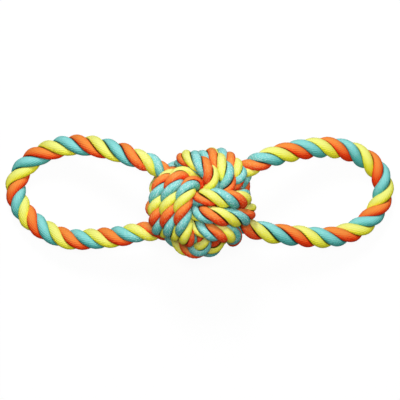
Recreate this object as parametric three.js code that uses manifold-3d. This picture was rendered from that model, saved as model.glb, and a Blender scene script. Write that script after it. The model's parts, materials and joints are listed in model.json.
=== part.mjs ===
// Rope dog toy: one rope tied into a three-turn monkey's fist, with a hand loop on each side.
// Millimetres, +Z up. The toy lies on a floor at z = 0, its loops along X, its middle over the origin.

import * as THREE from 'three';
import { mergeVertices } from 'three/addons/utils/BufferGeometryUtils.js';
import Module from 'manifold-3d';

// Driving dimensions
const ROPE_DIAMETER = 16; // in the hand loops, where the rope lies loose
const OUTER_TURN_DIAMETER = 14; // drawn tight over the outside of the knot
const INNER_TURN_DIAMETER = 10.2; // squeezed under the turns that cross it
const TAIL_DIAMETER = 9.5; // the rope's two ends, squeezed into the middle of the knot
const KNOT_DIAMETER = 90; // the ball that the turns are drawn into
const LOOP_LENGTH = 97.4; // each loop, from where it leaves the knot to its far end
const LOOP_REST_SLOPE = 1.2; // how the loops come down to the floor: 1 is a straight ramp
const TAIL_OVERLAP = 28; // length over which the two ends lie side by side
const BINDING_WIDTH = 14; // twine that binds the two ends together
const BINDING_WALL = 1.6;
const FLAT_SHARE = 0.1; // share of the rope's diameter that is pressed flat on the floor

// Clearances
const PIECE_GAP = 0.3; // between pieces that meet
const TURN_GAP = 0.7; // between neighbouring turns

// How the rope is drawn tight
const SETTLE_STEP = 5; // distance between the points of the rope while it settles
const SETTLE_STAGES = [
  { rounds: 300, ease: 0.25, letGo: false },
  { rounds: 200, ease: 0.06, letGo: false },
  { rounds: 3, ease: 0.25, letGo: true },
];
const PUSH_SHARE = 0.22;
const BALL_SHARE = 0.25;
const BESIDE_REACH = 1.9; // stretches of one rope nearer than this, in diameters along it, don't push

// Facets
const RING_STEP = 5;
const FINE_SHARE = 2; // points read between rings where the rope is squeezed
const LOOP_RING_STEP = 7;
const TURN_SIDES = 8;
const LOOP_SIDES = 12;
const DOME_RINGS = 3;

// The middle of the ball and the four places where the rope leaves it, seen from above: x and y, how
// far above the middle of the ball, and the mouth between the turns, in turn diameters along the
// knot's own axes
const KNOT_CENTRE = new THREE.Vector2(1.2, -4.8);
const LEFT_UPPER_EXIT = { x: -49.6, y: 29.6, rise: 1, mouth: [1.12, 1.58, 1.92] };
const LEFT_LOWER_EXIT = { x: -49.6, y: -28.8, rise: -13, mouth: [1.45, -2.05, 1.5] };
const RIGHT_UPPER_EXIT = { x: 50.4, y: 28.4, rise: -3, mouth: [-2.25, 1.6, -0.45] };
const RIGHT_LOWER_EXIT = { x: 50.4, y: -28, rise: -9, mouth: [-1.6, -1.15, -1.75] };

// The loops' routes from the upper exit round to the lower one: the share of the loop's length, and how
// far across the toy, in millimetres
const LEFT_LOOP_ROUTE = [
  [0.1, 33.8], [0.2, 36.4], [0.295, 38.6], [0.395, 40.2], [0.49, 40.8], [0.59, 40], [0.695, 37.2],
  [0.815, 32.2], [0.93, 22.5], [1, 8.5], [0.977, -4.6], [0.895, -16.8], [0.795, -24.8], [0.69, -30.4],
  [0.59, -33.8], [0.49, -35], [0.395, -34.4], [0.295, -33.6], [0.2, -33], [0.1, -31.6],
];
const RIGHT_LOOP_ROUTE = [
  [0.1, 32], [0.2, 34.6], [0.297, 36.6], [0.395, 38], [0.495, 38.8], [0.595, 38.4], [0.695, 36.6],
  [0.8, 32.6], [0.907, 25.6], [0.98, 15.4], [1, 4.6], [0.97, -6.6], [0.89, -18], [0.795, -25.6],
  [0.693, -30], [0.595, -32.4], [0.495, -33.4], [0.395, -32.8], [0.297, -31.8], [0.2, -31], [0.1, -30],
];

// The knot's own axes: its left, top and right faces look up at whoever stands over the toy
const TILT_UP = 14;
const TILT_LEFT = 3;
const ROLL = -7;

// Where the turns run, in turn diameters from the middle of the knot
const OUTER_LEVEL = 2.41;
const OUTER_CROWN = 0.09;
const INNER_LEVEL = 1.6;
const CORNER_OUT = 0.84;
const CORNER_IN = 0.93;
const OUTER_LANE = 0.92;
const CORNER_LANE = 0.87;
const INNER_LANE = 0.81;
const TURNS_PER_SET = 3;

// Each set of turns goes round a rectangle: long side along axis u, short side along axis v, and its
// turns lie beside each other along axis lane. Shift says how far a turn has moved to the next lane
// at each face and corner of its round. Held are the places of the turns that can be seen from above,
// in millimetres from the middle of the ball, along the toy's axes.
const X = 'x';
const Y = 'y';
const Z = 'z';
const FIRST_SET = {
  u: Y, v: Z, lane: X, firstLane: 1, laneStep: -1,
  faces: [[Y, -1], [Z, -1], [Y, 1], [Z, 1]],
  shift: [-0.5, 0.4, 0, 0.2, 0.1, 0.35, 0.35, 0.35],
  held: [
    { turn: 0, face: 0, places: [[-22, -25, -12], [-16, -33, -8], [-9, -37.8, -4], [-3, -38, 2]] },
    { turn: 0, face: 2, places: [[12, 18, 27.5], [4, 27, 27], [-10, 36, 15]] },
    { turn: 1, face: 0, places: [[1, -37, -16], [9.5, -38, -11]] },
    { turn: 1, face: 2, places: [[23, 19.5, 22], [15.6, 30.4, 17], [7.5, 37.5, 7]] },
    { turn: 2, face: 2, places: [[33, 21.5, 12], [26.8, 32, 8], [17, 38.5, -2]] },
  ],
};
const SECOND_SET = {
  u: Z, v: X, lane: Y, firstLane: -1, laneStep: 1,
  faces: [[X, -1], [Z, -1], [X, 1], [Z, 1]],
  shift: [-0.72, -0.72, 0, 0.72, 0.72, 0.72, 0.5, 0.28],
  held: [
    { turn: 0, face: 1, places: [[29.4, -26.4, 12], [14.8, -24.4, 26], [3.2, -22, 29]] },
    { turn: 0, face: 3, places: [[-43, -10, -8], [-33, 2, -20]] },
    { turn: 1, face: 1, places: [[37.5, -12.4, 9], [33, -12.4, 19.5], [17.2, -11.2, 32], [3.2, -8.8, 34.5]] },
    { turn: 2, face: 1, places: [[34, 1.6, 11], [31.4, 0.8, 22], [17.2, 2.4, 33], [4, 4.8, 34]] },
  ],
};
const THIRD_SET = {
  u: X, v: Y, lane: Z, firstLane: 1, laneStep: -1,
  faces: [[Y, 1], [X, 1], [Y, -1], [X, -1]],
  shift: [0, 0, 0, 0, 0, 0, 0, 0.5],
  held: [
    {
      turn: 0,
      face: 1,
      places: [[-26.5, 21.5, 14], [-31, 11, 17.6], [-34.4, -5, 14.6], [-33, -20, 9], [-30, -27.5, 1]],
    },
    { turn: 1, face: 1, places: [[-18.5, 22.5, 23.5], [-21.6, 12, 27.4], [-25.6, -5, 25.2], [-23.8, -24, 19.4]] },
    { turn: 2, face: 1, places: [[-11.2, 12.8, 33.5], [-15.2, -4, 34.5], [-13.4, -25, 26.5]] },
    { turn: 2, face: 3, places: [[31.5, 6, -15], [31.5, 14, -8]] },
  ],
};

const COLOURS = { orange: 0xf06a2a, yellow: 0xe9ec60, turquoise: 0x6fcdc6, twine: 0xe8e2d0 };
const ROPE_RADIUS = ROPE_DIAMETER / 2;
const EXIT_RADIUS = ROPE_RADIUS * 0.94;
const STUB_SHARE = 0.6;
const FLOOR_DROP = ROPE_DIAMETER * FLAT_SHARE;
const BINDING_COVER = BINDING_WALL + 2 * PIECE_GAP;

// The knot's own axes, in the toy's frame

function knotRotation() {
  const left = new THREE.Vector3(-Math.SQRT1_2, -Math.sqrt(1 / 6), Math.sqrt(1 / 3));
  const top = new THREE.Vector3(0, Math.sqrt(2 / 3), Math.sqrt(1 / 3));
  const back = new THREE.Vector3(-Math.SQRT1_2, Math.sqrt(1 / 6), -Math.sqrt(1 / 3));
  const turn = new THREE.Matrix4().makeRotationZ(THREE.MathUtils.degToRad(ROLL));
  turn.multiply(new THREE.Matrix4().makeRotationY(THREE.MathUtils.degToRad(-TILT_LEFT)));
  turn.multiply(new THREE.Matrix4().makeRotationX(THREE.MathUtils.degToRad(-TILT_UP)));
  return turn.multiply(new THREE.Matrix4().makeBasis(left, top, back));
}

const TO_TOY = knotRotation();
const TO_KNOT = TO_TOY.clone().invert();

// Points of the rope: a place, the rope's radius there and the thickness of what is bound round it

function ropePoint(place, radius, cover = 0) {
  return { place, radius, cover };
}

function alongAxis(axis, length) {
  const place = new THREE.Vector3();
  place[axis] = length;
  return place;
}

function facePoint(set, [axis, side], lane) {
  const outside = axis === set.u;
  const crown = OUTER_CROWN * Math.max(0, 1 - Math.abs(lane));
  const level = outside ? OUTER_LEVEL + crown : INNER_LEVEL;
  const spread = outside ? OUTER_LANE : INNER_LANE;
  const place = alongAxis(axis, side * level).add(alongAxis(set.lane, lane * spread));
  const diameter = outside ? OUTER_TURN_DIAMETER : INNER_TURN_DIAMETER;
  return ropePoint(place.multiplyScalar(OUTER_TURN_DIAMETER), diameter / 2);
}

function heldPoint(place) {
  const inKnot = new THREE.Vector3(...place).applyMatrix4(TO_KNOT);
  return { ...ropePoint(inKnot, OUTER_TURN_DIAMETER / 2), held: true };
}

function cornerPoint(set, face, nextFace, lane) {
  const sideOf = (axis) => (face[0] === axis ? face[1] : nextFace[1]);
  const place = alongAxis(set.u, sideOf(set.u) * OUTER_LEVEL * CORNER_OUT);
  place.add(alongAxis(set.v, sideOf(set.v) * INNER_LEVEL * CORNER_IN));
  place.add(alongAxis(set.lane, lane * CORNER_LANE));
  const diameter = 0.6 * OUTER_TURN_DIAMETER + 0.4 * INNER_TURN_DIAMETER;
  return ropePoint(place.multiplyScalar(OUTER_TURN_DIAMETER), diameter / 2);
}

function turnsOf(set) {
  const points = [];
  for (let turn = 0; turn < TURNS_PER_SET; turn += 1) {
    set.faces.forEach((face, n) => {
      const nextFace = set.faces[(n + 1) % set.faces.length];
      const lane = (station) => set.firstLane + set.laneStep * (turn + set.shift[station]);
      const held = set.held.find((stretch) => stretch.turn === turn && stretch.face === n);
      if (held) points.push(...held.places.map(heldPoint));
      else points.push(facePoint(set, face, lane(2 * n)));
      points.push(cornerPoint(set, face, nextFace, lane(2 * n + 1)));
    });
  }
  points.pop();
  return points;
}

// The rope's straight stubs at the four exits

function exitPlace(exit) {
  return new THREE.Vector3(exit.x - KNOT_CENTRE.x, exit.y - KNOT_CENTRE.y, exit.rise);
}

function mouthPlace(exit) {
  return new THREE.Vector3(...exit.mouth).multiplyScalar(OUTER_TURN_DIAMETER);
}

function stub(exit) {
  const pivot = exitPlace(exit).applyMatrix4(TO_KNOT);
  const inward = mouthPlace(exit).sub(pivot).normalize();
  const start = pivot.clone().addScaledVector(inward, EXIT_RADIUS + PIECE_GAP);
  const end = start.clone().addScaledVector(inward, ROPE_DIAMETER * STUB_SHARE);
  return [ropePoint(start, EXIT_RADIUS), ropePoint(end, EXIT_RADIUS)];
}

function inKnot(x, y, z, diameter) {
  return ropePoint(new THREE.Vector3(x, y, z).multiplyScalar(OUTER_TURN_DIAMETER), diameter / 2);
}

const DIAGONAL = new THREE.Vector3(1, 1, 1).normalize();
const TAIL_ASIDE = new THREE.Vector3(-1, -1, 2).normalize();

function tailPoints(side, exit) {
  const aside = TAIL_ASIDE.clone().multiplyScalar((side * (TAIL_DIAMETER + 2 * PIECE_GAP)) / 2);
  const along = (length) => DIAGONAL.clone().multiplyScalar(side * length).add(aside);
  return [
    ...stub(exit),
    ropePoint(mouthPlace(exit), OUTER_TURN_DIAMETER * 0.42),
    ropePoint(along(TAIL_OVERLAP / 2), TAIL_DIAMETER / 2, BINDING_COVER),
    ropePoint(along(TAIL_OVERLAP / 3), TAIL_DIAMETER / 2, BINDING_COVER),
    ropePoint(along(0), TAIL_DIAMETER / 2, BINDING_COVER),
    ropePoint(along(-TAIL_OVERLAP / 2), TAIL_DIAMETER / 2, BINDING_COVER),
  ];
}

function windingPoints() {
  const first = turnsOf(FIRST_SET);
  const second = turnsOf(SECOND_SET);
  const third = turnsOf(THIRD_SET);
  const leadIn = [
    ...stub(LEFT_LOWER_EXIT),
    ropePoint(mouthPlace(LEFT_LOWER_EXIT), OUTER_TURN_DIAMETER / 2),
  ];
  const turnBack = inKnot(-2.1, 1.75, 1.75, INNER_TURN_DIAMETER);
  const leadOut = [
    ropePoint(mouthPlace(RIGHT_UPPER_EXIT), OUTER_TURN_DIAMETER / 2),
    ...stub(RIGHT_UPPER_EXIT).reverse(),
  ];
  const points = [...leadIn, ...first, ...second, turnBack, ...third, ...leadOut];
  const firstEnd = leadIn.length + first.length - 1;
  return { points, cuts: [firstEnd, firstEnd + second.length] };
}

// A smooth curve through points, read at even steps

function smoothRope(points, step) {
  const curve = new THREE.CatmullRomCurve3(points.map((point) => point.place), false, 'catmullrom', 0.5);
  curve.arcLengthDivisions = points.length * 24;
  const count = Math.max(2, Math.round(curve.getLength() / step));
  const rope = [];
  for (let n = 0; n <= count; n += 1) {
    const t = curve.getUtoTmapping(n / count);
    const station = t * (points.length - 1);
    const before = Math.min(Math.floor(station), points.length - 2);
    const radius = THREE.MathUtils.lerp(points[before].radius, points[before + 1].radius, station - before);
    const cover = Math.max(points[before].cover, points[before + 1].cover);
    const held = points[before].held && points[before + 1].held;
    rope.push({ place: curve.getPoint(t), radius, cover, held, station });
  }
  return rope;
}

// Settling: each point eases towards the middle of its neighbours, stretches that come too near push
// each other away, and all of it is drawn into the ball. The stubs and the bound ends stay in place, and
// the held turns are let go at the last, so that the rope bends softly there too.

function pairsApart(rope, step) {
  const pairs = [];
  for (let i = 0; i < rope.length; i += 1) {
    for (let j = i + 1; j < rope.length; j += 1) {
      const need = rope[i].radius + rope[i].cover + rope[j].radius + rope[j].cover;
      const beside = rope[i].piece === rope[j].piece && (j - i) * step < BESIDE_REACH * need;
      if (!beside) pairs.push({ one: rope[i], other: rope[j], need });
    }
  }
  return pairs;
}

function easeAlong(rope, ease) {
  const moved = rope.map((point, n) => {
    if (point.fixed) return point.place;
    const middle = rope[n - 1].place.clone().add(rope[n + 1].place).multiplyScalar(0.5);
    return point.place.clone().lerp(middle, ease);
  });
  rope.forEach((point, n) => point.place.copy(moved[n]));
}

function pushApart(rope, pairs) {
  rope.forEach((point) => point.push.set(0, 0, 0));
  const between = new THREE.Vector3();
  for (const { one, other, need } of pairs) {
    between.subVectors(one.place, other.place);
    const distance = between.length();
    const lack = need + TURN_GAP - distance;
    if (lack > 0) {
      between.multiplyScalar((PUSH_SHARE * lack) / distance);
      one.push.add(between);
      other.push.sub(between);
    }
  }
  for (const point of rope) {
    if (!point.fixed) point.place.add(point.push);
  }
}

function drawIntoBall(rope) {
  for (const point of rope) {
    const excess = point.place.length() - (KNOT_DIAMETER / 2 - point.radius);
    if (!point.fixed && excess > 0) point.place.setLength(point.place.length() - BALL_SHARE * excess);
  }
}

function settle(ropes) {
  const all = ropes.flat();
  const pairs = pairsApart(all, SETTLE_STEP);
  for (const { rounds, ease, letGo } of SETTLE_STAGES) {
    for (const point of all) point.fixed = point.atEnd || (point.held && !letGo);
    for (let n = 0; n < rounds; n += 1) {
      easeAlong(all, ease);
      pushApart(all, pairs);
      drawIntoBall(all);
    }
  }
}

function readyToSettle(points, piece, heldStart, heldEnd) {
  const rope = smoothRope(points, SETTLE_STEP);
  rope.forEach((point) => {
    point.piece = piece;
    point.push = new THREE.Vector3();
    point.atEnd = point.station <= heldStart || point.station >= points.length - 1 - heldEnd;
  });
  return rope;
}

// Where turns press on each other the rope is squeezed until they are a turn gap apart

function finerRope(rope) {
  const fine = smoothRope(rope, RING_STEP / FINE_SHARE);
  return fine.map(({ place, radius, cover, station }) => {
    const before = Math.min(Math.floor(station), rope.length - 2);
    const along = THREE.MathUtils.lerp(rope[before].station, rope[before + 1].station, station - before);
    return { place, radius, cover, station: along, piece: rope[0].piece };
  });
}

function squeeze(ropes) {
  const all = ropes.flat();
  all.forEach((point) => { point.share = 1; });
  for (const { one, other, need } of pairsApart(all, RING_STEP / FINE_SHARE)) {
    const room = one.place.distanceTo(other.place) - TURN_GAP;
    const bound = [one, other].find((point) => point.cover > 0);
    const free = bound === one ? other : one;
    if (!bound) {
      one.share = Math.min(one.share, room / need);
      other.share = Math.min(other.share, room / need);
    } else if (!free.cover) {
      free.share = Math.min(free.share, (room - bound.radius - bound.cover) / free.radius);
    }
  }
  for (const rope of ropes) {
    const radii = rope.map((point, n) => {
      const around = rope.slice(Math.max(0, n - 1), n + 2);
      return point.radius * Math.min(...around.map((near) => near.share));
    });
    rope.forEach((point, n) => { point.radius = radii[n]; });
  }
}

// Tubes: rings of points along the rope, closed by a flat face or a dome at each end

function ringFrames(places) {
  const tangents = places.map((_, n) => {
    const before = places[Math.max(0, n - 1)];
    const after = places[Math.min(places.length - 1, n + 1)];
    return after.clone().sub(before).normalize();
  });
  const normal = new THREE.Vector3(0.3, 0.5, 0.8).cross(tangents[0]).normalize();
  return places.map((place, n) => {
    normal.addScaledVector(tangents[n], -normal.dot(tangents[n])).normalize();
    const binormal = tangents[n].clone().cross(normal);
    return { place, tangent: tangents[n], normal: normal.clone(), binormal };
  });
}

function domeRings(frame, radius, outward) {
  const rings = [];
  for (let k = 1; k <= DOME_RINGS; k += 1) {
    const angle = (k / (DOME_RINGS + 1)) * (Math.PI / 2);
    const place = frame.place.clone().addScaledVector(frame.tangent, outward * radius * Math.sin(angle));
    rings.push({ ...frame, place, radius: radius * Math.cos(angle) });
  }
  return rings;
}

function tube(path, sides, domed) {
  const rings = [...path];
  const first = rings[0];
  const last = rings[rings.length - 1];
  const startPole = first.place.clone();
  const endPole = last.place.clone();
  if (domed) {
    rings.unshift(...domeRings(first, first.radius, -1).reverse());
    rings.push(...domeRings(last, last.radius, 1));
    startPole.addScaledVector(first.tangent, -first.radius);
    endPole.addScaledVector(last.tangent, last.radius);
  }
  const points = [];
  for (const ring of rings) {
    for (let s = 0; s < sides; s += 1) {
      const angle = (2 * Math.PI * s) / sides;
      const point = ring.place.clone();
      point.addScaledVector(ring.normal, ring.radius * Math.cos(angle));
      points.push(point.addScaledVector(ring.binormal, ring.radius * Math.sin(angle)));
    }
  }
  const faces = [];
  for (let r = 0; r < rings.length - 1; r += 1) {
    for (let s = 0; s < sides; s += 1) {
      const a = r * sides + s;
      const b = r * sides + ((s + 1) % sides);
      faces.push(a, b, a + sides, b, b + sides, a + sides);
    }
  }
  const startIndex = points.push(startPole) - 1;
  const endIndex = points.push(endPole) - 1;
  const lastRing = (rings.length - 1) * sides;
  for (let s = 0; s < sides; s += 1) {
    const next = (s + 1) % sides;
    faces.push(startIndex, next, s);
    faces.push(endIndex, lastRing + s, lastRing + next);
  }
  const geometry = new THREE.BufferGeometry().setFromPoints(points);
  geometry.setIndex(faces);
  return geometry;
}

// The floor presses the rope flat: everything below z = 0 is cut away

const wasm = await Module();
wasm.setup();

function solidOf(geometry) {
  const bare = geometry.clone();
  bare.deleteAttribute('normal');
  bare.deleteAttribute('uv');
  const merged = mergeVertices(bare, 1e-4);
  const vertProperties = new Float32Array(merged.attributes.position.array);
  const triVerts = new Uint32Array(merged.index.array);
  return new wasm.Manifold(new wasm.Mesh({ numProp: 3, vertProperties, triVerts }));
}

function geometryOf(solid) {
  const mesh = solid.getMesh();
  const geometry = new THREE.BufferGeometry();
  geometry.setAttribute('position', new THREE.BufferAttribute(new Float32Array(mesh.vertProperties), 3));
  geometry.setIndex(new THREE.BufferAttribute(new Uint32Array(mesh.triVerts), 1));
  geometry.computeVertexNormals();
  return geometry;
}

function flatOnFloor(geometry) {
  geometry.computeBoundingBox();
  const { min, max } = geometry.boundingBox;
  if (min.z >= 0) return geometry;
  const size = max.clone().sub(min).addScalar(ROPE_DIAMETER);
  const floor = new THREE.BoxGeometry(size.x, size.y, size.z);
  floor.translate((min.x + max.x) / 2, (min.y + max.y) / 2, -size.z / 2);
  return geometryOf(solidOf(geometry).subtract(solidOf(floor)));
}

// The hand loops

function loopRope(upperExit, lowerExit, route) {
  const farEnd = route.findIndex(([along]) => along === 1);
  const restHeight = ROPE_RADIUS - FLOOR_DROP;
  const between = route.map(([along, across], n) => {
    const exit = n < farEnd ? upperExit : lowerExit;
    const x = exit.x + Math.sign(exit.x) * along * LOOP_LENGTH;
    const climb = (1 - along) ** LOOP_REST_SLOPE;
    const height = restHeight + (knotHeight + exit.rise - restHeight) * climb;
    return ropePoint(new THREE.Vector3(x, across, height), ROPE_RADIUS);
  });
  const ends = [upperExit, lowerExit].map((exit) => {
    const place = new THREE.Vector3(exit.x, exit.y, knotHeight + exit.rise);
    return ropePoint(place, EXIT_RADIUS);
  });
  return smoothRope([ends[0], ...between, ends[1]], LOOP_RING_STEP);
}

// The binding: a flat band of twine round both ends, where they lie side by side

function bindingGeometry() {
  const inside = TAIL_DIAMETER / 2 + PIECE_GAP;
  const aside = TAIL_DIAMETER / 2 + PIECE_GAP;
  const band = (radius) => {
    const outline = new THREE.Path();
    outline.absarc(aside, 0, radius, -Math.PI / 2, Math.PI / 2, false);
    outline.absarc(-aside, 0, radius, Math.PI / 2, (3 * Math.PI) / 2, false);
    outline.closePath();
    return outline;
  };
  const shape = new THREE.Shape(band(inside + BINDING_WALL).getPoints(TURN_SIDES));
  shape.holes.push(new THREE.Path(band(inside).getPoints(TURN_SIDES)));
  const geometry = new THREE.ExtrudeGeometry(shape, { depth: BINDING_WIDTH, bevelEnabled: false });
  geometry.translate(0, 0, -BINDING_WIDTH / 2);
  const across = DIAGONAL.clone().cross(TAIL_ASIDE);
  return geometry.applyMatrix4(new THREE.Matrix4().makeBasis(TAIL_ASIDE, across, DIAGONAL));
}

// Rings of the settled rope, in the toy's frame

function ringsOf(rope) {
  const frames = ringFrames(rope.map((point) => point.place));
  return frames.map((frame, n) => ({ ...frame, radius: rope[n].radius, station: rope[n].station }));
}

function movedRing(ring, distance) {
  return { ...ring, place: ring.place.clone().addScaledVector(ring.tangent, distance) };
}

function cutAt(rings, stations) {
  const pieces = [];
  let rest = rings;
  for (const station of stations) {
    const n = rest.findIndex((ring) => ring.station >= station);
    pieces.push([...rest.slice(0, n), movedRing(rest[n], -PIECE_GAP / 2)]);
    rest = [movedRing(rest[n], PIECE_GAP / 2), ...rest.slice(n + 1)];
  }
  return [...pieces, rest];
}

// Least gap between stretches of rope, read on the points of their skins

function leastGap(one, other) {
  let least = Infinity;
  one.forEach((a, i) => {
    other.forEach((b, j) => {
      const beside = one === other && Math.abs(i - j) * RING_STEP < BESIDE_REACH * (a.radius + b.radius);
      if (!beside) least = Math.min(least, a.place.distanceTo(b.place) - a.radius - b.radius);
    });
  });
  return least;
}

// Building the toy

function settledKnot() {
  const winding = windingPoints();
  const ropes = [
    readyToSettle(winding.points, 'winding', 1, 1),
    readyToSettle(tailPoints(1, LEFT_UPPER_EXIT), 'left tail', 1, 3),
    readyToSettle(tailPoints(-1, RIGHT_LOWER_EXIT), 'right tail', 1, 3),
  ];
  settle(ropes);
  const fine = ropes.map((rope) => finerRope(rope));
  squeeze(fine);
  return { ropes: fine.map((rope) => rope.filter((_, n) => n % FINE_SHARE === 0)), cuts: winding.cuts };
}

const { ropes: knotRopes, cuts } = settledKnot();
knotRopes.flat().forEach((point) => point.place.applyMatrix4(TO_TOY));
const lowest = Math.min(...knotRopes.flat().map((point) => point.place.z - point.radius));
const knotHeight = -lowest - OUTER_TURN_DIAMETER * FLAT_SHARE;
const knotMiddle = new THREE.Vector3(KNOT_CENTRE.x, KNOT_CENTRE.y, knotHeight);
knotRopes.flat().forEach((point) => point.place.add(knotMiddle));

const [windingRings, leftTailRings, rightTailRings] = knotRopes.map(ringsOf);
const [firstRings, secondRings, thirdRings] = cutAt(windingRings, cuts);
const leftLoopRings = ringsOf(loopRope(LEFT_UPPER_EXIT, LEFT_LOWER_EXIT, LEFT_LOOP_ROUTE));
const rightLoopRings = ringsOf(loopRope(RIGHT_UPPER_EXIT, RIGHT_LOWER_EXIT, RIGHT_LOOP_ROUTE));
const binding = bindingGeometry().applyMatrix4(TO_TOY).translate(knotMiddle.x, knotMiddle.y, knotMiddle.z);

const toy = new THREE.Group();
toy.name = 'rope_dog_toy';

function addPiece(name, geometry, colour) {
  const mesh = new THREE.Mesh(flatOnFloor(geometry), new THREE.MeshStandardMaterial({ color: colour }));
  mesh.name = name;
  toy.add(mesh);
}

addPiece('left_loop', tube(leftLoopRings, LOOP_SIDES, true), COLOURS.turquoise);
addPiece('right_loop', tube(rightLoopRings, LOOP_SIDES, true), COLOURS.yellow);
addPiece('first_turns', tube(firstRings, TURN_SIDES, false), COLOURS.yellow);
addPiece('second_turns', tube(secondRings, TURN_SIDES, false), COLOURS.turquoise);
addPiece('third_turns', tube(thirdRings, TURN_SIDES, false), COLOURS.orange);
addPiece('left_tail', tube(leftTailRings, TURN_SIDES, false), COLOURS.orange);
addPiece('right_tail', tube(rightTailRings, TURN_SIDES, false), COLOURS.turquoise);
addPiece('tail_binding', binding, COLOURS.twine);

// The middle of the toy's box goes over the origin

const box = new THREE.Box3().setFromObject(toy);
const shift = new THREE.Vector3(-(box.min.x + box.max.x) / 2, -(box.min.y + box.max.y) / 2, -box.min.z);
for (const mesh of toy.children) mesh.geometry.translate(shift.x, shift.y, shift.z);

const sets = { first: firstRings, second: secondRings, third: thirdRings };
for (const [name, rings] of Object.entries(sets)) {
  console.log('least gap to itself,', name, leastGap(rings, rings).toFixed(2));
}
console.log('least gap in the knot', leastGap(windingRings, windingRings).toFixed(2));
console.log('least gap to the tails', leastGap(windingRings, leftTailRings).toFixed(2),
  leastGap(windingRings, rightTailRings).toFixed(2), leastGap(leftTailRings, rightTailRings).toFixed(2));
console.log('toy box', box.min.toArray().map((v) => v.toFixed(2)), box.max.toArray().map((v) => v.toFixed(2)));
console.log('shift', shift.toArray().map((v) => v.toFixed(3)));
for (const [name, upper, lower] of [
  ['left', LEFT_UPPER_EXIT, LEFT_LOWER_EXIT],
  ['right', RIGHT_UPPER_EXIT, RIGHT_LOWER_EXIT],
]) {
  const ends = [upper, lower].map((exit) => new THREE.Vector3(exit.x, exit.y, knotHeight + exit.rise));
  const middle = ends[0].clone().add(ends[1]).multiplyScalar(0.5).add(shift).divideScalar(1000);
  const axis = ends[0].clone().sub(ends[1]).normalize();
  console.log('swing axis,', name, middle.toArray().map((v) => v.toFixed(6)), axis.toArray().map((v) => v.toFixed(5)));
}
const squeezed = windingRings.map((ring) => ring.radius);
console.log('turn radius, least and most', Math.min(...squeezed).toFixed(2), Math.max(...squeezed).toFixed(2));

export default toy;
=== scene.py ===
# %% [markdown]
# # A rope dog toy
# One cotton rope of three coloured strands is tied into a ball knot, with a hand loop on each side.
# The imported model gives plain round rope. Here that rope gets its strands, its yarn and its colours.
# Each section says what a part is on the real toy, how it could be made, and why it is made this way.

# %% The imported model
import json
import math

import bpy
import numpy as np
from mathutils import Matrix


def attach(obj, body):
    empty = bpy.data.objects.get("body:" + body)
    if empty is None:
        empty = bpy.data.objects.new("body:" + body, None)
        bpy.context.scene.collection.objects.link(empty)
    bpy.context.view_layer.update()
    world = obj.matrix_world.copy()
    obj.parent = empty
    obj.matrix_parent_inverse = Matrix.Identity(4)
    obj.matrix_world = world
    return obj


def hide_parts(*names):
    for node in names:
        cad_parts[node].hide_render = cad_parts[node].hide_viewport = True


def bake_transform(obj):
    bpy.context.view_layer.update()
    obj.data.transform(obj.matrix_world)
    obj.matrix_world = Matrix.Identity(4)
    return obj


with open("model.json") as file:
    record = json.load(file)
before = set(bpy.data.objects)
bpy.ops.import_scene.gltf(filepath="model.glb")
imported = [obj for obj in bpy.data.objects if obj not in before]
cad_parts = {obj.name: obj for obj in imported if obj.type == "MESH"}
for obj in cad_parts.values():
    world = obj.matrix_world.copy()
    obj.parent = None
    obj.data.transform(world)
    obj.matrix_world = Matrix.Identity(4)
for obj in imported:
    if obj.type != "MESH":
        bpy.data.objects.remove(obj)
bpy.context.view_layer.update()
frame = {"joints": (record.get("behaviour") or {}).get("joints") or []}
MM = 0.001
TURN = 2 * math.pi

# %% [markdown]
# ## The rope's sizes
# The rope is loose and thick in the loops. In the knot it is drawn tight, and under a crossing turn it
# is squeezed further. The sizes are those of the solids, in millimetres, so that the dressed rope lies
# where the plain rope does. The loops' routes follow the middle line of the rope in the photograph. A
# curve drawn over the picture would do as well, but a list of places is easy to check and to change.

# %% Sizes of the rope
ROPE = 16.0
OUTER_TURN = 14.0
INNER_TURN = 10.2
TAIL = 9.5
KNOT = 90.0
LOOP_LENGTH = 97.4
REST_SLOPE = 1.2
TAIL_OVERLAP = 28.0
PIECE_GAP = 0.3
TURN_GAP = 0.7
BINDING_THICK = 1.6
BINDING_COVER = BINDING_THICK + 2 * PIECE_GAP
EXIT_SHARE = 0.94
EXIT_RADIUS = ROPE / 2 * EXIT_SHARE
STUB_SHARE = 0.6
STUB_LENGTH = ROPE * STUB_SHARE
FLAT_SHARE = 0.1
REST_HEIGHT = ROPE / 2 - ROPE * FLAT_SHARE
KNOT_CENTRE = np.array([1.2, -4.8])

# Where the rope leaves the ball: place, height over the ball's middle, and mouth between the turns
EXITS = {
    "left upper": {"x": -49.6, "y": 29.6, "rise": 1, "mouth": (1.12, 1.58, 1.92)},
    "left lower": {"x": -49.6, "y": -28.8, "rise": -13, "mouth": (1.45, -2.05, 1.5)},
    "right upper": {"x": 50.4, "y": 28.4, "rise": -3, "mouth": (-2.25, 1.6, -0.45)},
    "right lower": {"x": 50.4, "y": -28, "rise": -9, "mouth": (-1.6, -1.15, -1.75)},
}
print("rope of", ROPE, "mm, ball of", KNOT, "mm, exits", list(EXITS))

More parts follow.
